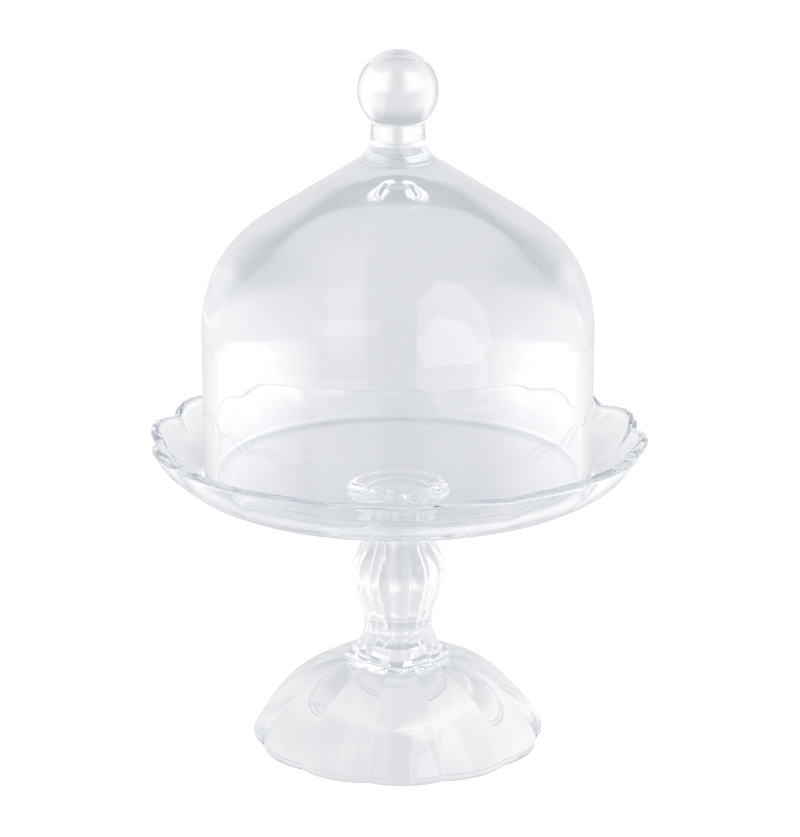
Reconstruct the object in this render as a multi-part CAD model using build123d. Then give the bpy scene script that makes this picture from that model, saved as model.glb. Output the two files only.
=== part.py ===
from build123d import *
import os
from math import acos, atan2, cos, degrees, pi, radians, sin, sqrt, tan

# A footed cake stand of clear pressed glass with a loose glass dome.
# Millimetres, +Z up, standing on z = 0, with the stand's axis on Z and the front towards -Y.
# Angles round the axis are counted in degrees from the front towards +X.

# Foot
foot_radius = 56.3            # out to the lobe tips at the base
foot_lobes = 12
foot_lobe_depth = 1.9         # how far the creases lie behind the tips at the base
foot_turn = 18.3              # angle of the first crease
foot_band = 3.0               # height of the upright edge round the base
foot_bell_radius = 57.4       # curve of the bell, seen from the side
foot_bell_lean = 27.0         # how far the bell leans in from upright where it leaves the band
foot_height = 46.0            # up to the joint with the stem
foot_wall = 4.8               # glass between the bell and the hollow
mark_radius = 6.5             # round pit in the roof of the hollow, left by the plunger
mark_depth = 6.0

# Stem, with heights counted from its joint with the foot
neck_radius = 13.0            # at the joint, on the foot and the stem alike
neck_flute_depth = 0.9
bulb_radius = 18.1
bulb_flute_depth = 1.5
bulb_rise = 21.5              # up to the widest part of the bulb
throat_radius = 12.0
throat_rise = 40.0            # up to the narrowest part under the collar
collar_radius = 20.0
collar_rise = 49.8            # up to the collar's underside
collar_thickness = 1.7
cup_radius = 11.8             # shallow cup in the collar's top
cup_depth = 1.5

# Ring of adhesive between the collar and the plate
bond_thickness = 0.3
bond_margin = 0.4             # the ring stays this far from the collar's edge and from the cup

# Dome, with heights counted from its lower edge
dome_radius = 73.9
dome_wall = 4.9
dome_straight = 58.6          # height of the upright wall
shoulder_radius = 44.6        # outer curve from the wall to the crown
inner_shoulder_radius = 40.0
inner_shoulder_drop = 8.6     # how far below the outer shoulder the inner one begins
crown_slope = 32.1            # slope of the crown against the horizontal, inside and outside
vault_radius = 50.0           # round top of the space inside, above its sloped sides
dimple_radius = 10.0          # round hollow in the top of the vault
dimple_depth = 2.5
dome_neck_radius = 10.0
dome_neck_fillet = 9.4        # curve from the crown to the neck
dome_neck_straight = 6.1      # upright length of the neck, up to the ball

# Knob
knob_radius = 15.1

# Plate, with heights counted from the edge of its underside
underside_inset = 3.1         # the underside ends this far inside the well's edge
plate_floor = 5.0             # thickness of the well
well_sag = 4.2                # how far the well and the underside sag towards the middle
dome_clearance = 1.6          # room round the dome in the well
rim_reach = 19.5              # from the well's edge out to the lobe tips
rim_lobes = 16
rim_lobe_depth = 4.8          # how far the creases lie behind the tips at the rim
rim_turn = 5.2                # angle of the first crease
rim_height = 21.0             # up to the lobe tips
rim_dip = 2.6                 # how far the rim drops from a tip to a crease
rim_wall = 4.0
wall_curve = 35.5             # outer curve of the wall, seen from the side
inner_wall_curve = 45.0

# How finely the lobed pieces are sectioned along their height
bell_section_count = 6
fillet_section_count = 5
flute_section_count = 5       # for each stretch of the stem
wall_section_count = 6
cut_over = 1.0                # how far a cutting body runs past the face that it opens

# Heights of the pieces above the table
stem_base = foot_height
bond_base = stem_base + collar_rise + collar_thickness
pad_base = bond_base + bond_thickness
plate_base = pad_base + well_sag
dome_base = plate_base + plate_floor
well_radius = dome_radius + dome_clearance
underside_radius = well_radius - underside_inset
rim_radius = well_radius + rim_reach


def on_circle(centre, radius, angle):
    """Point of a circle in a side view, with the angle in degrees from the outward direction."""
    return (centre[0] + radius * cos(radians(angle)), centre[1] + radius * sin(radians(angle)))


def side_arc(centre, radius, start, end):
    """Arc of a side view between two angles."""
    return ThreePointArc(*(on_circle(centre, radius, a) for a in (start, (start + end) / 2, end)))


def turned(edges):
    """Solid turned about the stand's axis from a closed side view of radius against height."""
    return revolve(Plane.XZ * make_face(edges), Axis.Z)


def lobed_face(lobes, turn, radius, depth, height):
    """Level section with one arc per lobe, from crease to crease over the lobe's tip."""
    def place(step, r):
        angle = radians(turn + step * 360 / lobes)
        return (r * sin(angle), -r * cos(angle), height)

    arcs = []
    for lobe in range(lobes):
        tip = place(lobe + 0.5, radius)
        arcs.append(ThreePointArc(place(lobe, radius - depth), tip, place(lobe + 1, radius - depth)))
    return Face(Wire(arcs))


def arc_centre(low, high, radius):
    """Centre of the side-view arc that rises from low to high and bulges outwards and down."""
    dr, dz = high[0] - low[0], high[1] - low[1]
    chord = sqrt(dr * dr + dz * dz)
    back = sqrt(radius * radius - chord * chord / 4)
    return ((low[0] + high[0]) / 2 - back * dz / chord, (low[1] + high[1]) / 2 + back * dr / chord)


def steps(count):
    """Even shares from 0 to 1, both ends included."""
    return [i / count for i in range(count + 1)]


def make_foot():
    """Bell with lobes that run up into the neck, open underneath."""
    bell = (foot_radius - foot_bell_radius * cos(radians(foot_bell_lean)),
            foot_band - foot_bell_radius * sin(radians(foot_bell_lean)))
    # the neck's curve touches the bell and stands upright at the joint
    across, up = neck_radius - bell[0], foot_height - bell[1]
    fillet_radius = (across ** 2 + up ** 2 - foot_bell_radius ** 2) / (2 * (foot_bell_radius - across))
    fillet = (neck_radius + fillet_radius, foot_height)
    meeting = degrees(atan2(fillet[1] - bell[1], fillet[0] - bell[0]))

    outline = [on_circle(bell, foot_bell_radius, foot_bell_lean + s * (meeting - foot_bell_lean))
               for s in steps(bell_section_count)]
    outline += [on_circle(fillet, fillet_radius, 180 + meeting * (1 - s))
                for s in steps(fillet_section_count)[1:]]

    def section(radius, height):
        share = (radius - neck_radius) / (foot_radius - neck_radius)
        depth = neck_flute_depth + (foot_lobe_depth - neck_flute_depth) * share
        return lobed_face(foot_lobes, foot_turn, radius, depth, height)

    body = extrude(section(foot_radius, 0), foot_band, dir=(0, 0, 1))
    body += loft([section(r, z) for r, z in outline])

    # the hollow follows the bell, and has a round mark in its roof
    hollow_radius = foot_bell_radius - foot_wall
    below = -cut_over
    mouth = bell[0] + sqrt(hollow_radius ** 2 - (below - bell[1]) ** 2)
    roof = bell[1] + sqrt(hollow_radius ** 2 - (mark_radius - bell[0]) ** 2)
    start = degrees(atan2(below - bell[1], mouth - bell[0]))
    end = degrees(atan2(roof - bell[1], mark_radius - bell[0]))
    hollow = [Line((0, below), (mouth, below)), side_arc(bell, hollow_radius, start, end),
              Line((mark_radius, roof), (mark_radius, roof + mark_depth)),
              Line((mark_radius, roof + mark_depth), (0, roof + mark_depth)),
              Line((0, roof + mark_depth), (0, below))]
    return body - turned(hollow)


def make_stem():
    """Fluted baluster that swells into a bulb, narrows to a throat and flares into a cupped collar."""
    stages = [(0, neck_radius, neck_flute_depth), (bulb_rise, bulb_radius, bulb_flute_depth),
              (throat_rise, throat_radius, neck_flute_depth), (collar_rise, collar_radius, 0)]
    sections = []
    for low, high in zip(stages, stages[1:]):
        for share in steps(flute_section_count)[1 if sections else 0:]:
            swell = (1 - cos(pi * share)) / 2
            radius = low[1] + (high[1] - low[1]) * swell
            depth = low[2] + (high[2] - low[2]) * swell
            height = stem_base + low[0] + (high[0] - low[0]) * share
            sections.append(lobed_face(foot_lobes, foot_turn, radius, depth, height))
    collar = Pos(0, 0, stem_base + collar_rise) * extrude(Circle(collar_radius), collar_thickness)
    cup = Pos(0, 0, bond_base - cup_depth) * extrude(Circle(cup_radius), cup_depth + cut_over)
    return loft(sections) + collar - cup


def make_bond_film():
    """Thin clear ring that holds the plate on the stem's collar."""
    ring = Circle(collar_radius - bond_margin) - Circle(cup_radius + bond_margin)
    return Pos(0, 0, bond_base) * extrude(ring, bond_thickness)


def make_plate():
    """Dish with a sagging well and an upturned wall that waves out into lobes."""
    def lobed_bowl(low, high, curve, over):
        """Bowl from a round foot to a lobed rim, whose lobes grow with height."""
        centre = arc_centre(low, high, curve)
        top = high[1] + over
        faces = []
        for share in steps(wall_section_count):
            height = low[1] + (top - low[1]) * share
            radius = centre[0] + sqrt(curve ** 2 - (height - centre[1]) ** 2)
            depth = rim_lobe_depth * (height - low[1]) / (high[1] - low[1])
            faces.append(lobed_face(rim_lobes, rim_turn, radius, depth, plate_base + height))
        return loft(faces)

    def sagging(edge_radius, pad_radius, edge):
        """Body between a level edge and the curve that sags below it to a level pad in the middle."""
        reach = edge_radius - pad_radius
        curve = (reach ** 2 + well_sag ** 2) / (2 * well_sag)
        pad = edge - well_sag
        steepness = degrees(atan2(reach, curve - well_sag))
        return turned([Line((0, pad), (pad_radius, pad)),
                       side_arc((pad_radius, pad + curve), curve, -90, steepness - 90),
                       Line((edge_radius, edge), (0, edge)), Line((0, edge), (0, pad))])

    inner_rim = (rim_radius - rim_wall, rim_height)
    dish = lobed_bowl((underside_radius, 0), (rim_radius, rim_height), wall_curve, 0)
    dish -= lobed_bowl((well_radius, plate_floor), inner_rim, inner_wall_curve, cut_over)
    # the underside is level where it is bonded, and the well where the dome stands
    dish += sagging(underside_radius, collar_radius, plate_base)
    dish -= sagging(dome_radius - dome_wall - dome_clearance, collar_radius, dome_base)

    # each lobe ends in an arch, so that the rim drops from its tip to the creases beside it
    crease = rim_radius - rim_lobe_depth
    half_lobe = crease * sin(pi / rim_lobes)
    arch_radius = (half_lobe ** 2 + rim_dip ** 2) / (2 * rim_dip)
    inside, outside = crease - rim_wall - cut_over, rim_radius + cut_over
    tip = plate_base + rim_height
    ring = Circle(outside) - Circle(inside)
    trim = Pos(0, 0, tip - 2 * rim_dip) * extrude(ring, 2 * rim_dip + cut_over)
    for lobe in range(rim_lobes):
        arch = Cylinder(arch_radius, outside - inside + 2 * cut_over, rotation=(90, 0, 0))
        arch = Pos(0, -(inside + outside) / 2, tip - arch_radius) * arch
        trim -= Rot(0, 0, rim_turn + (lobe + 0.5) * 360 / rim_lobes) * arch
    return dish - trim


def make_dome_shell():
    """Bell with an upright wall, a sloped thick crown, a vault inside and a short neck."""
    turn = 90 - crown_slope
    rise = tan(radians(crown_slope))
    wall_inside = dome_radius - dome_wall

    shoulder = (dome_radius - shoulder_radius, dome_base + dome_straight)
    crown = on_circle(shoulder, shoulder_radius, turn)
    neck_foot = dome_neck_radius + dome_neck_fillet * (1 - cos(radians(turn)))
    neck_curve = (dome_neck_radius + dome_neck_fillet,
                  crown[1] + (crown[0] - neck_foot) * rise + dome_neck_fillet * sin(radians(turn)))
    seat = neck_curve[1] + dome_neck_straight

    # inside, a slope beside the crown's own runs from the inner shoulder up to the round vault
    inner_shoulder = (wall_inside - inner_shoulder_radius, shoulder[1] - inner_shoulder_drop)
    inner_crown = on_circle(inner_shoulder, inner_shoulder_radius, turn)
    vault_edge = vault_radius * cos(radians(turn))
    vault_foot = (vault_edge, inner_crown[1] + (inner_crown[0] - vault_edge) * rise)
    vault = (0, vault_foot[1] - vault_radius * sin(radians(turn)))
    dimple_edge = on_circle(vault, vault_radius, degrees(acos(dimple_radius / vault_radius)))
    dimple_sphere = (dimple_radius ** 2 + dimple_depth ** 2) / (2 * dimple_depth)
    dimple_centre = (0, dimple_edge[1] + dimple_depth - dimple_sphere)

    return turned([
        Line((wall_inside, dome_base), (dome_radius, dome_base)),
        Line((dome_radius, dome_base), shoulder_start(dome_radius, shoulder)),
        side_arc(shoulder, shoulder_radius, 0, turn),
        Line(crown, on_circle(neck_curve, dome_neck_fillet, 180 + turn)),
        side_arc(neck_curve, dome_neck_fillet, 180 + turn, 180),
        Line((dome_neck_radius, neck_curve[1]), (dome_neck_radius, seat)),
        Line((dome_neck_radius, seat), (0, seat)),
        Line((0, seat), (0, dimple_edge[1] + dimple_depth)),
        side_arc(dimple_centre, dimple_sphere, 90, degrees(acos(dimple_radius / dimple_sphere))),
        side_arc(vault, vault_radius, degrees(acos(dimple_radius / vault_radius)), turn),
        Line(vault_foot, inner_crown),
        side_arc(inner_shoulder, inner_shoulder_radius, turn, 0),
        Line(shoulder_start(wall_inside, inner_shoulder), (wall_inside, dome_base)),
    ]), seat


def shoulder_start(radius, shoulder):
    """Where an upright wall ends and its shoulder curve begins."""
    return (radius, shoulder[1])


def make_knob_ball(seat):
    """Solid ball with a flat seat as wide as the neck under it."""
    centre = (0, seat + sqrt(knob_radius ** 2 - dome_neck_radius ** 2))
    low = degrees(atan2(seat - centre[1], dome_neck_radius))
    top = (0, centre[1] + knob_radius)
    return turned([Line((0, seat), (dome_neck_radius, seat)), side_arc(centre, knob_radius, low, 90),
                   Line(top, (0, seat))])


dome_shell, knob_seat = make_dome_shell()
pieces = {
    "foot": make_foot(),
    "stem": make_stem(),
    "bond_film": make_bond_film(),
    "plate": make_plate(),
    "dome_shell": dome_shell,
    "knob_ball": make_knob_ball(knob_seat),
}

os.makedirs("parts", exist_ok=True)
for name, piece in pieces.items():
    export_step(piece, f"parts/{name}.step")
    box = piece.bounding_box()
    print(f"{name}: {piece.volume / 1000:.1f} cm3, z {box.min.Z:.2f} to {box.max.Z:.2f}")
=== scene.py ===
import math

import bpy
import numpy as np
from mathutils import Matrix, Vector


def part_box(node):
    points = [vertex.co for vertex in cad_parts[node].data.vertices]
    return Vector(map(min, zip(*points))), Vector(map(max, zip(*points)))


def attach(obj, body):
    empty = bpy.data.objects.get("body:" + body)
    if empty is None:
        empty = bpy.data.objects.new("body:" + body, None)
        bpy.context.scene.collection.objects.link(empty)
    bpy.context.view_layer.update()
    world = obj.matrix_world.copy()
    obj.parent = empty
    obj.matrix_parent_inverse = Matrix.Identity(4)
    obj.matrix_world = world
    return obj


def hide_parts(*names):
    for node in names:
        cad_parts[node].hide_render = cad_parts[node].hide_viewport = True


# A footed cake stand of clear pressed glass with a loose glass dome. Metres, +Z up, front towards -Y.
# A side view is a list of points of radius and height. Angles round the axis are counted in degrees
# from the front towards +X.

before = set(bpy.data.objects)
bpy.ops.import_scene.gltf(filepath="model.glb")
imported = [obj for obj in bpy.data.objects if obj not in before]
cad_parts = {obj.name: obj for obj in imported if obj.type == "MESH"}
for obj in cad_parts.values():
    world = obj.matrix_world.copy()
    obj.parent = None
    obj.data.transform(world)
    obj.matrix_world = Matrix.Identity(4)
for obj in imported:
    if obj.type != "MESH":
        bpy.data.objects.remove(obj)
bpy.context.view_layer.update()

MM = 0.001


def height_span(node):
    """Lowest and highest point of a CAD node."""
    low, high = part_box(node)
    return low.z, high.z


# Heights that the frame gives
table_top, joint_height = height_span("foot")
film_base, pad_base = height_span("bond_film")
rim_top = height_span("plate")[1]
dome_base, knob_seat = height_span("dome_shell")
knob_top = height_span("knob_ball")[1]

# Foot
foot_radius = 56.3 * MM
foot_lobes = 12
foot_lobe_depth = 1.9 * MM
foot_turn = 18.3
foot_crease_softness = 0.3
foot_band = 3.0 * MM
bell_radius = 57.4 * MM
bell_lean = 27.0
foot_wall = 4.8 * MM
mark_radius = 6.5 * MM
mark_depth = 6.0 * MM

# Stem, with heights counted from its joint with the foot
neck_radius = 13.0 * MM
neck_flute_depth = 0.9 * MM
bulb_radius = 18.1 * MM
bulb_flute_depth = 1.5 * MM
bulb_rise = 21.5 * MM
throat_radius = 12.0 * MM
throat_rise = 40.0 * MM
collar_radius = 20.0 * MM
collar_rise = 49.8 * MM
cup_radius = 11.8 * MM
cup_depth = 1.5 * MM
bond_margin = 0.4 * MM
bond_outside = collar_radius - bond_margin
bond_inside = cup_radius + bond_margin

# Plate
underside_radius = 72.4 * MM
well_sag = 4.2 * MM
plate_edge = pad_base + well_sag
well_radius = 75.5 * MM
seat_radius = 67.4 * MM
rim_radius = 95.0 * MM
rim_lobes = 16
rim_lobe_depth = 4.8 * MM
rim_turn = 5.2
rim_crease_softness = 1.8
rim_dip = 2.6 * MM
lobe_fade = 1.15
rim_wall = 4.0 * MM
wall_curve = 35.5 * MM
inner_wall_curve = 30.0 * MM
well_corner = 7.0 * MM

# Dome, with heights counted from its lower edge
dome_radius = 73.9 * MM
dome_wall = 4.9 * MM
dome_straight = 58.6 * MM
shoulder_radius = 44.6 * MM
inner_straight = 50.0 * MM
inner_shoulder_radius = 40.0 * MM
crown_slope = 32.1
vault_radius = 50.0 * MM
dimple_radius = 10.0 * MM
dimple_depth = 2.5 * MM
dome_neck_top = 9.9 * MM
dome_neck_radius = 10.3 * MM
dome_neck_fillet = 9.4 * MM
knob_radius = 15.1 * MM

# Glass
edge_softness = 0.7 * MM
blown_softness = 6.0 * MM
glass_bend = 1.52
glass_tint = (0.995, 0.9962, 0.998)
glass_bounces = 64


# Side views

def on_circle(centre, radius, angle):
    """Point of a circle in a side view, with the angle in degrees from the outward direction."""
    angle = math.radians(angle)
    return (centre[0] + radius * math.cos(angle), centre[1] + radius * math.sin(angle))


def arc(centre, radius, start, end, count=40):
    """Points along a circle of a side view."""
    return [on_circle(centre, radius, angle) for angle in np.linspace(start, end, count)]


def arc_centre(low, high, radius):
    """Centre of the side-view arc that rises from low to high and bulges outwards and down."""
    dr, dz = high[0] - low[0], high[1] - low[1]
    chord = math.hypot(dr, dz)
    back = math.sqrt(radius * radius - chord * chord / 4)
    return ((low[0] + high[0]) / 2 - back * dz / chord, (low[1] + high[1]) / 2 + back * dr / chord)


def rising_arc(low, high, radius):
    """Points of such an arc, from low to high."""
    centre = arc_centre(low, high, radius)
    start, end = (math.degrees(math.atan2(p[1] - centre[1], p[0] - centre[0])) for p in (low, high))
    return arc(centre, radius, start, end)


def along(outline):
    """Distance along an outline, by its radius and height."""
    return np.concatenate([[0], np.cumsum(np.hypot(*np.diff(outline[:, :2], axis=0).T))])


def resampled(outline, places):
    """Outline at the given distances along it."""
    distance = along(outline)
    return np.stack([np.interp(places, distance, column) for column in outline.T], axis=1)


def fire_polished(outline, softness, spacing, turn=5.0):
    """Outline with its corners melted round, with points close together where it bends.

    Spacing is the widest gap between points, and turn the most degrees from one to the next.
    """
    outline = np.asarray(outline, float)
    per_softness, reach = 6, 20
    length = along(outline)[-1]
    outline = resampled(outline, np.linspace(0, length, int(length / (softness / per_softness)) + 2))
    weights = np.exp(-0.5 * (np.arange(-reach, reach + 1) / per_softness) ** 2)
    weights /= weights.sum()
    before = 2 * outline[0] - outline[reach:0:-1]
    after = 2 * outline[-1] - outline[-2:-reach - 2:-1]
    longer = np.concatenate([before, outline, after])
    melted = np.stack([np.convolve(column, weights, "valid") for column in longer.T], axis=1)

    distance = along(melted)
    heading = np.unwrap(np.arctan2(*np.gradient(melted[:, :2], axis=0).T))
    bend = np.abs(np.gradient(heading)) / math.radians(turn)
    effort = np.concatenate([[0], np.cumsum(np.diff(distance) / spacing + (bend[1:] + bend[:-1]) / 2)])
    wanted = np.linspace(0, effort[-1], int(effort[-1]) + 2)
    return resampled(melted, np.interp(wanted, effort, distance))


def with_lobes(points, depth=0.0, dip=0.0):
    """Side view that also says how deep the creases cut in and how far they drop, at each point."""
    columns = [np.broadcast_to(value, len(points)) for value in (depth, dip)]
    return np.column_stack([np.asarray(points, float), *columns])


def level(height, *radii):
    """Level stretch of a side view, through the given radii."""
    return with_lobes([(radius, height) for radius in radii])


def upright(radius, *heights):
    """Upright stretch of a side view, through the given heights."""
    return with_lobes([(radius, height) for height in heights])


# Turned and pressed shapes

def even_spokes(count):
    """Angles of the spokes of a plain turned piece, and no lobes."""
    return np.arange(count) * 360 / count, None


def lobed_spokes(lobes, turn, per_lobe, softness):
    """Angles of the spokes of a lobed piece, closer at the creases, and each one's place in its lobe.

    The place is the angle from the lobe's tip in radians. Softness, in degrees, rounds the creases.
    """
    half = 180 / lobes
    place = half * np.sin(np.pi / 2 * (np.arange(per_lobe) / per_lobe * 2 - 1))
    angles = np.concatenate([turn + (lobe + 0.5) * 2 * half + place for lobe in range(lobes)])
    soft = half - np.hypot(half - np.abs(place), softness)
    return angles, (np.tile(np.radians(soft), lobes), math.radians(half))


def lobe_arc(tip, depth, place, half):
    """Radius at a place in a lobe, whose edge is one arc from crease to crease over the tip."""
    crease = tip - depth
    centre = (tip ** 2 - crease ** 2) / (2 * (tip - crease * math.cos(half)))
    return centre * np.cos(place) + np.sqrt((tip - centre) ** 2 - (centre * np.sin(place)) ** 2)


def spun(name, stretches, spokes):
    """Mesh turned from stretches of a side view that follow each other, with the spokes' lobes.

    A stretch is its points and whether it lies fused in a joint, where it takes the second material.
    Stretches that end where they began make a closed ring.
    """
    angles, lobes = spokes
    outline = np.concatenate([stretches[0][0][:1]] + [points[1:] for points, fused in stretches])
    fused_rows = np.concatenate([[fused] * (len(points) - 1) for points, fused in stretches])
    radius, height = outline[:, :1], outline[:, 1:2]
    on_axis = radius[:, 0] < MM / 100
    if lobes is None:
        radius, height = (np.repeat(column, len(angles), axis=1) for column in (radius, height))
    else:
        place, half = lobes
        height = height - outline[:, 3:4] * (place / half) ** 2
        radius = lobe_arc(np.maximum(radius, MM), outline[:, 2:3], place, half)
    turn = np.radians(angles)
    rings = np.stack([radius * np.sin(turn), -radius * np.cos(turn), height], axis=2)

    ring_shaped = np.allclose(outline[0], outline[-1])
    points, rows = [], []
    for ring, closed in zip(rings[:-1] if ring_shaped else rings, on_axis):
        rows.append(len(points) + (np.zeros(len(ring), int) if closed else np.arange(len(ring))))
        points.extend([[0.0, 0.0, ring[0, 2]]] if closed else ring.tolist())
    if ring_shaped:
        rows.append(rows[0])
    faces, materials = [], []
    for upper, lower, fused in zip(rows, rows[1:], fused_rows):
        for a, b, c, d in zip(upper, lower, np.roll(lower, -1), np.roll(upper, -1)):
            faces.append(list(dict.fromkeys((int(a), int(b), int(c), int(d)))))
            materials.append(int(fused))

    mesh = bpy.data.meshes.new(name)
    mesh.from_pydata(points, [], faces)
    mesh.polygons.foreach_set("use_smooth", [not fused for fused in materials])
    mesh.polygons.foreach_set("material_index", materials)
    piece = bpy.data.objects.new(name, mesh)
    bpy.context.scene.collection.objects.link(piece)
    return piece


def foot_outline():
    """Side view of the foot, from its joint over the bell and under the base up to the hollow's roof."""
    bell = (foot_radius - bell_radius * math.cos(math.radians(bell_lean)),
            table_top + foot_band - bell_radius * math.sin(math.radians(bell_lean)))
    across, up = neck_radius - bell[0], joint_height - bell[1]
    fillet_radius = (across ** 2 + up ** 2 - bell_radius ** 2) / (2 * (bell_radius - across))
    fillet = (neck_radius + fillet_radius, joint_height)
    meeting = math.degrees(math.atan2(fillet[1] - bell[1], fillet[0] - bell[0]))
    outside = arc(fillet, fillet_radius, 180, 180 + meeting) + arc(bell, bell_radius, meeting, bell_lean)
    bead = foot_band / 2
    outside += arc((foot_radius - bead, table_top + bead), bead, 50, -90)

    hollow_radius = bell_radius - foot_wall
    mouth = bell[0] + math.sqrt(hollow_radius ** 2 - (table_top - bell[1]) ** 2)
    roof = bell[1] + math.sqrt(hollow_radius ** 2 - (mark_radius - bell[0]) ** 2)
    start = math.degrees(math.atan2(table_top - bell[1], mouth - bell[0]))
    end = math.degrees(math.atan2(roof - bell[1], mark_radius - bell[0]))
    inside = arc(bell, hollow_radius, start, end)
    inside += [(mark_radius, roof + mark_depth), (0, roof + mark_depth)]

    share = (np.array(outside)[:, 0] - neck_radius) / (foot_radius - neck_radius)
    depth = neck_flute_depth + (foot_lobe_depth - neck_flute_depth) * share
    return np.concatenate([with_lobes(outside, depth), with_lobes(inside)])


def stem_outline():
    """Side view of the stem, from the bond's outer edge on the collar down over the bulb to the joint."""
    stages = [(collar_rise, collar_radius, 0.0), (throat_rise, throat_radius, neck_flute_depth),
              (bulb_rise, bulb_radius, bulb_flute_depth), (0.0, neck_radius, neck_flute_depth)]
    outline = [with_lobes([(bond_outside, film_base), (collar_radius, film_base),
                           (collar_radius, joint_height + collar_rise)])]
    for high, low in zip(stages, stages[1:]):
        share = np.linspace(0, 1, 30)[1:]
        swell = (1 - np.cos(np.pi * share)) / 2
        rise, radius, depth = (start + (end - start) * part for start, end, part
                               in zip(high, low, (share, swell, swell)))
        outline.append(with_lobes(np.column_stack([radius, joint_height + rise]), depth))
    return np.concatenate(outline)


def cup_outline():
    """Side view of the shallow cup in the stem's top, from its middle to the bond's inner edge."""
    floor = film_base - cup_depth
    return with_lobes([(0, floor), (cup_radius, floor), (cup_radius, film_base), (bond_inside, film_base)])


def sagging(inner, outer, edge, count=40):
    """Side view of a face that rises from a level pad in the middle to its edge."""
    share = np.linspace(0, 1, count)
    radius, height = inner + (outer - inner) * share, edge - well_sag * (1 - share ** 2)
    return with_lobes(np.column_stack([radius, height]))


def plate_outline():
    """Side view of the plate, from the middle of the well over the rim and under it to the bond's edge."""
    lip = rim_wall / 2
    lip_centre = (rim_radius - lip, rim_top - lip)
    inner_rim = (rim_radius - rim_wall, lip_centre[1])
    bowl = arc_centre((well_radius, dome_base), inner_rim, inner_wall_curve)
    corner_height = dome_base + well_corner
    corner_reach = math.sqrt((inner_wall_curve - well_corner) ** 2 - (corner_height - bowl[1]) ** 2)
    corner = (bowl[0] + corner_reach, corner_height)
    meeting = math.degrees(math.atan2(corner_height - bowl[1], corner_reach))
    top = math.degrees(math.atan2(inner_rim[1] - bowl[1], inner_rim[0] - bowl[0]))
    inner_wall = arc(corner, well_corner, -90, meeting) + arc(bowl, inner_wall_curve, meeting, top)
    inner_wall = np.array(inner_wall + arc(lip_centre, lip, 180, 90))
    wall = rising_arc((underside_radius, plate_edge), (rim_radius, lip_centre[1]), wall_curve)[::-1]
    wall = np.array(arc(lip_centre, lip, 90, 0) + wall)

    def lobed(points, base):
        share = np.clip((points[:, 1] - base) / (rim_top - base), 0, 1)
        return with_lobes(points, rim_lobe_depth * share ** lobe_fade, rim_dip * share ** 2)

    return np.concatenate([level(dome_base - well_sag, 0), sagging(collar_radius, seat_radius, dome_base),
                           lobed(inner_wall, dome_base), lobed(wall, plate_edge),
                           sagging(collar_radius, underside_radius, plate_edge)[::-1],
                           level(pad_base, bond_outside)])


def eased(points):
    """Side view of blown glass, whose bends pass softly into each other."""
    return fire_polished(points, blown_softness, spacing=1.5 * MM).tolist()


def dome_outline():
    """Side view of the dome, from the ball's seat over the crown and the lower edge up to the ceiling."""
    turn = 90 - crown_slope
    rise = math.tan(math.radians(crown_slope))
    wall_inside = dome_radius - dome_wall
    shoulder = (dome_radius - shoulder_radius, dome_base + dome_straight)
    crown = on_circle(shoulder, shoulder_radius, turn)
    neck_foot = dome_neck_radius + dome_neck_fillet * (1 - math.cos(math.radians(turn)))
    slope_top = crown[1] + (crown[0] - neck_foot) * rise
    neck_curve = (dome_neck_radius + dome_neck_fillet,
                  slope_top + dome_neck_fillet * math.sin(math.radians(turn)))
    outline = [(dome_neck_top, knob_seat)]
    outline += arc(neck_curve, dome_neck_fillet, 180, 180 + turn)
    slope_middle = ((neck_foot + crown[0]) / 2, crown[1] + (crown[0] - neck_foot) / 2 * rise)
    outline += eased([slope_middle] + arc(shoulder, shoulder_radius, turn, 0))
    outline += arc((dome_radius - dome_wall / 2, dome_base + dome_wall / 2), dome_wall / 2, 0, -180)

    inner_shoulder = (wall_inside - inner_shoulder_radius, dome_base + inner_straight)
    inner_crown = on_circle(inner_shoulder, inner_shoulder_radius, turn)
    vault_edge = vault_radius * math.cos(math.radians(turn))
    vault_foot = inner_crown[1] + (inner_crown[0] - vault_edge) * rise
    vault = (0, vault_foot - vault_radius * math.sin(math.radians(turn)))
    dimple_base = vault[1] + math.sqrt(vault_radius ** 2 - dimple_radius ** 2)
    dimple_sphere = (dimple_radius ** 2 + dimple_depth ** 2) / (2 * dimple_depth)
    dimple = (0, dimple_base + dimple_depth - dimple_sphere)
    vault_end, dimple_start = (math.degrees(math.acos(dimple_radius / radius))
                               for radius in (vault_radius, dimple_sphere))
    outline += eased(arc(inner_shoulder, inner_shoulder_radius, 0, turn)
                     + arc(vault, vault_radius, turn, vault_end))
    outline += arc(dimple, dimple_sphere, dimple_start, 90)
    return with_lobes(outline)


def knob_outline():
    """Side view of the ball, from its top down to its seat on the neck."""
    centre = (0, knob_top - knob_radius)
    low = math.degrees(math.asin((knob_seat - centre[1]) / knob_radius))
    outline = arc(centre, knob_radius, 90, low)
    outline[-1] = (dome_neck_top, knob_seat)
    return with_lobes(outline)


# Shaders

class Signal:
    """A shader value that adds its own Math nodes when it is used in an expression."""

    def __init__(self, board, socket):
        self.board, self.socket = board, socket

    def math(self, operation, *others):
        return self.board.node("ShaderNodeMath", {"operation": operation}, {
            place: value for place, value in enumerate((self, *others))})[0]

    def __add__(self, other):
        return self.math("ADD", other)

    def __sub__(self, other):
        return self.math("SUBTRACT", other)

    def __rsub__(self, other):
        return self.math("MULTIPLY", -1) + other

    def __mul__(self, other):
        return self.math("MULTIPLY", other)

    def __truediv__(self, other):
        return self.math("DIVIDE", other)

    def __abs__(self):
        return self.math("ABSOLUTE")

    __radd__, __rmul__ = __add__, __mul__

    def between_0_and_1(self):
        return self.math("MAXIMUM", 0).math("MINIMUM", 1)


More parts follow.
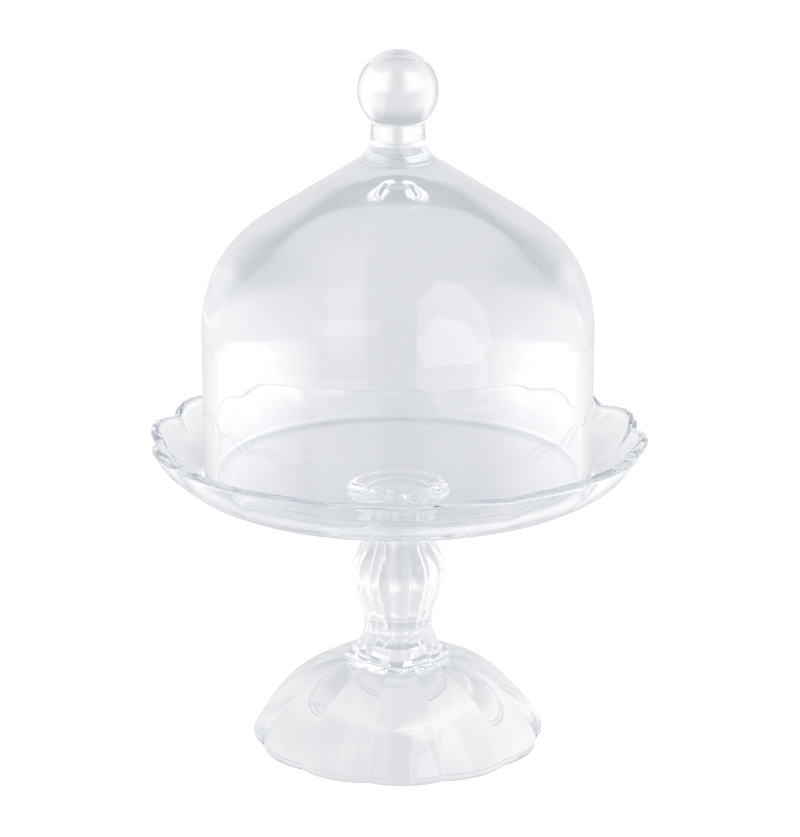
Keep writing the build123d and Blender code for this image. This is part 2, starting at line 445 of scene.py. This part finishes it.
class Board:
    """The node tree of a material or of the world."""

    def __init__(self, owner):
        owner.use_nodes = True
        self.tree = owner.node_tree
        self.tree.nodes.clear()

    def node(self, kind, settings=None, sockets=None):
        """New node with its settings made and its sockets set or linked. Gives its outputs."""
        made = self.tree.nodes.new(kind)
        for name, value in (settings or {}).items():
            setattr(made, name, value)
        for place, value in (sockets or {}).items():
            if isinstance(value, Signal):
                self.tree.links.new(value.socket, made.inputs[place])
            else:
                made.inputs[place].default_value = value
        return Outputs(self, made)


class Outputs:
    """The outputs of a node, by place or by name."""

    def __init__(self, board, made):
        self.board, self.made = board, made

    def __getitem__(self, place):
        return Signal(self.board, self.made.outputs[place])


def clear_glass(name):
    """Clear polished glass, whose faces each take a little of the light."""
    material = bpy.data.materials.new(name)
    board = Board(material)
    glass = board.node("ShaderNodeBsdfGlass", {}, {
        "Color": (*glass_tint, 1), "Roughness": 0.0, "IOR": glass_bend})
    board.node("ShaderNodeOutputMaterial", {}, {"Surface": glass["BSDF"]})
    return material


def fused_joint():
    """Face inside a joint, where glass runs on into glass and nothing shows."""
    material = bpy.data.materials.new("fused_joint")
    board = Board(material)
    clear = board.node("ShaderNodeBsdfTransparent", {}, {"Color": (1, 1, 1, 1)})
    board.node("ShaderNodeOutputMaterial", {}, {"Surface": clear["BSDF"]})
    return material


# The pieces of glass

pressed = clear_glass("pressed_glass")
blown = clear_glass("dome_glass")
joint = fused_joint()

foot_spokes = lobed_spokes(foot_lobes, foot_turn, per_lobe=28, softness=foot_crease_softness)
rim_spokes = lobed_spokes(rim_lobes, rim_turn, per_lobe=24, softness=rim_crease_softness)


def fitted(piece, body, node, glass):
    """Gives a piece its glass and puts it in its CAD node's place."""
    piece.data.materials.append(glass)
    piece.data.materials.append(joint)
    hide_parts(node)
    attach(piece, body)


def polished(outline, spacing, softness=edge_softness):
    """Stretch of free glass surface."""
    return fire_polished(outline, softness, spacing), False


def fused(height, *radii):
    """Stretch that lies in a joint."""
    return level(height, *radii), True


neck_end = with_lobes([(neck_radius, joint_height), (0, joint_height)], neck_flute_depth)
foot = spun("foot_glass", [
    (neck_end[::-1], True),
    polished(foot_outline(), spacing=1.0 * MM, softness=0.35 * MM)], foot_spokes)
stem = spun("stem_glass", [
    polished(cup_outline(), spacing=1.5 * MM),
    fused(film_base, bond_inside, bond_outside),
    polished(stem_outline(), spacing=1.0 * MM),
    (neck_end, True)], foot_spokes)
film = spun("bond_layer", [
    fused(pad_base, bond_inside, bond_outside),
    (upright(bond_outside, pad_base, film_base), False),
    fused(film_base, bond_outside, bond_inside),
    (upright(bond_inside, film_base, pad_base), False)], even_spokes(96))
plate = spun("plate_glass", [
    polished(plate_outline(), spacing=1.6 * MM),
    fused(pad_base, bond_outside, bond_inside),
    (level(pad_base, bond_inside, 0), False)], rim_spokes)
dome = spun("dome_glass_shell", [
    fused(knob_seat, 0, dome_neck_top),
    polished(dome_outline(), spacing=1.5 * MM)], even_spokes(256))
knob = spun("knob_glass_ball", [
    polished(knob_outline(), spacing=0.8 * MM, softness=0.2 * MM),
    fused(knob_seat, dome_neck_top, 0)], even_spokes(128))

fitted(foot, "stand", "foot", pressed)
fitted(stem, "stand", "stem", pressed)
fitted(film, "stand", "bond_film", pressed)
fitted(plate, "stand", "plate", pressed)
fitted(dome, "dome", "dome_shell", blown)
fitted(knob, "dome", "knob_ball", blown)


# Studio. Directions are in degrees round the object from the front, and above the horizon.
# Brightness 1 is white. Light and shade are what each adds to it and takes away.

wall_light = 0.93
front_shade = 0.24
mirrored_front_shade = 0.14
rear_shade = 0.13
side_shade = 0.3
mirrored_side_light = 0.8
ceiling_light = 0.62
strip_light = 0.5
octagon_light = 1.2
octagon_middle = (0.5, 28)
octagon_half = (0.315, 46)
octagon_cut = 1.45
floor_light = 0.88
floor_front_shade = 0.09
floor_rear_shade = 0.06
floor_side_shade = 0.06
floor_right_light = 0.09
floor_flank_light = 0.16
# Painted shadows on the floor, seen only in the glass: in front of the foot, and behind the stand
foot_shade = 0.22
plate_shade = 0.12
dim_tint = (0.79, 0.87, 1.0)


def ramp(value, start, end):
    """0 up to start and 1 from end on."""
    return ((value - start) / (end - start)).between_0_and_1()


def bearing(ahead, aside):
    """Degrees by which a direction turns aside from straight ahead."""
    return aside.math("ARCTAN2", ahead) * (180 / math.pi)


def behind(turn):
    """1 straight behind the object, and 0 at the sides and in front."""
    return ramp(abs(turn), 140, 172)


def beside(turn):
    """1 at the object's left and right, and 0 in front and behind."""
    return ramp(abs(turn), 50, 76) * ramp(abs(turn), 134, 102)


def mirrored_light(path):
    """1 for light that the glass has mirrored on its way, and 0 for light that has only passed through."""
    return path["Glossy Depth"].between_0_and_1()


def wall_brightness(turn, mirrored, side_light):
    """Brightness of the walls: a dim front, sides lit where the glass mirrors them, and a greyer back."""
    front = ramp(abs(turn), 60, 10) * (front_shade + mirrored_front_shade * mirrored)
    sides = beside(turn) * (side_light * mirrored - side_shade * (1 - mirrored))
    return wall_light - front + sides - rear_shade * behind(turn)


def ceiling_share(turn, rise):
    """0 on the walls and 1 on the ceiling, which begins lower at the sides and lowest behind."""
    rear = ramp(abs(turn), 120, 150)
    begin = 45 - 30 * beside(turn) - 36 * rear
    return ((rise - begin) / (27 - 13 * rear)).between_0_and_1()


def soft_boxes(axes):
    """Brightness of two soft boxes in front: a strip that leans over the left side and a large octagon."""
    lean = bearing(axes["Y"] * -1, axes["Z"])
    across = axes["X"] / (1 - 0.375 * (lean / 100) * (lean / 100))
    strip = ramp(across, -0.28, -0.33) * ramp(across, -0.69, -0.64)
    strip = strip * ramp(lean, -2, 4) * ramp(lean, 108, 100)
    wide = abs(across - octagon_middle[0]) / octagon_half[0]
    high = abs(lean - octagon_middle[1]) / octagon_half[1]
    edge = wide.math("MAXIMUM", high).math("MAXIMUM", (wide + high) / octagon_cut)
    return strip_light * strip + octagon_light * ramp(edge, 1.03, 0.97)


def floor_brightness(out, turn, mirrored):
    """Brightness of the floor, running into the walls' farther out, with painted shadows under the object.
    """
    passed = 1 - mirrored
    front = ramp(abs(turn), 80, 20)
    right = ramp(turn, 25, 75) * ramp(turn, 170, 130)
    near = floor_light - floor_front_shade * front - floor_rear_shade * behind(turn)
    # Painted shadow on the floor just in front of the foot
    near = near - foot_shade * front * ramp(out, 0.05, 0.085)
    near = near + floor_right_light * right - floor_side_shade * beside(turn) * passed
    far = wall_brightness(turn, mirrored, mirrored_side_light)
    flanks = ramp(abs(turn), 140, 160) * ramp(abs(turn), 176, 169)
    flanks = flanks * ramp(out, 0.38, 0.55) * ramp(out, 2.4, 0.9)
    # Painted shadow of the stand on the floor behind it
    painted_shadow_behind = ramp(abs(turn), 120, 150) * ramp(out, 0.07, 0.11) * ramp(out, 0.36, 0.22)
    brightness = near + (far - near) * ramp(out, 0.12, 0.45)
    return brightness + floor_flank_light * flanks * passed - plate_shade * painted_shadow_behind


def studio_colour(board, brightness):
    """Light of a brightness, a little bluer the dimmer it is."""
    tint = board.node("ShaderNodeMix", {"data_type": "RGBA"}, {
        "Factor": brightness.between_0_and_1(), 6: (*dim_tint, 1), 7: (1, 1, 1, 1)})[2]
    return board.node("ShaderNodeVectorMath", {"operation": "SCALE"}, {0: tint, "Scale": brightness})[0]


def studio_walls():
    """White for the camera. Round the object, pale walls, two soft boxes in front and a greyer ceiling."""
    world = bpy.data.worlds.new("studio")
    bpy.context.scene.world = world
    board = Board(world)
    direction = board.node("ShaderNodeTexCoord")["Generated"]
    axes = board.node("ShaderNodeSeparateXYZ", {}, {0: direction})
    turn = bearing(axes["Y"] * -1, axes["X"])
    rise = axes["Z"].math("ARCSINE") * (180 / math.pi)
    path = board.node("ShaderNodeLightPath")
    mirrored = mirrored_light(path)
    brightness = wall_brightness(turn, mirrored, mirrored_side_light * ramp(rise, 22, 3))
    brightness = brightness + (ceiling_light - brightness) * ceiling_share(turn, rise)
    brightness = brightness + mirrored * soft_boxes(axes)
    colour = studio_colour(board, brightness)
    shade = board.node("ShaderNodeBackground", {}, {"Color": colour, "Strength": 1.0})
    white = board.node("ShaderNodeBackground", {}, {"Color": (1, 1, 1, 1), "Strength": 1.0})
    shown = board.node("ShaderNodeMixShader", {}, {0: path["Is Camera Ray"], 1: shade[0], 2: white[0]})
    board.node("ShaderNodeOutputWorld", {}, {"Surface": shown[0]})


def floor_white():
    """Pale floor, white to the camera with a faint shadow, and a part of the studio to the glass."""
    camera_light, camera_share = 1.15, 0.85
    material = bpy.data.materials.new("floor_white")
    board = Board(material)
    paint = board.node("ShaderNodeBsdfDiffuse", {}, {"Color": (0.9, 0.9, 0.9, 1)})
    path = board.node("ShaderNodeLightPath")
    camera = path["Is Camera Ray"]
    glass = path["Is Glossy Ray"].math("MAXIMUM", path["Is Transmission Ray"])
    place = board.node("ShaderNodeNewGeometry")["Position"]
    axes = board.node("ShaderNodeSeparateXYZ", {}, {0: place})
    out = (axes["X"] * axes["X"] + axes["Y"] * axes["Y"]).math("SQRT")
    turn = bearing(axes["Y"] * -1, axes["X"])
    brightness = camera_light * camera + glass * floor_brightness(out, turn, mirrored_light(path))
    colour = studio_colour(board, brightness)
    glow = board.node("ShaderNodeEmission", {}, {"Color": colour, "Strength": 1.0})
    share = camera_share * camera + glass
    mixed = board.node("ShaderNodeMixShader", {}, {0: share, 1: paint[0], 2: glow[0]})
    board.node("ShaderNodeOutputMaterial", {}, {"Surface": mixed[0]})
    return material


def studio_floor():
    """Round floor under the object."""
    floor_radius, drop = 3.0, 0.2 * MM
    turns = np.linspace(0, 2 * math.pi, 96, endpoint=False)
    edge = np.stack([np.sin(turns), -np.cos(turns)], axis=1) * floor_radius
    mesh = bpy.data.meshes.new("floor")
    mesh.from_pydata([(x, y, table_top - drop) for x, y in edge.tolist()], [], [list(range(len(edge)))])
    mesh.materials.append(floor_white())
    floor = bpy.data.objects.new("floor", mesh)
    bpy.context.scene.collection.objects.link(floor)


# Camera, with the picture's height, the focal length and the axis's offset in pixels of the photograph

camera_place = (0, -1.095, 0.4416)
camera_pitch = 16.02
picture_height = 837
focal_length = 3000
axis_offset = 2


def photo_camera():
    """Camera at the photograph's place."""
    data = bpy.data.cameras.new("camera")
    camera = bpy.data.objects.new("camera", data)
    bpy.context.scene.collection.objects.link(camera)
    camera.location = camera_place
    camera.rotation_euler = (math.radians(90 - camera_pitch), 0, 0)
    data.lens = data.sensor_width * focal_length / picture_height
    data.shift_x = axis_offset / picture_height
    data.clip_start, data.clip_end = 0.05, 20
    bpy.context.scene.camera = camera


studio_walls()
studio_floor()
photo_camera()

scene = bpy.context.scene
scene.view_settings.view_transform = "Standard"
scene.cycles.max_bounces = glass_bounces
scene.cycles.transmission_bounces = glass_bounces
scene.cycles.glossy_bounces = glass_bounces
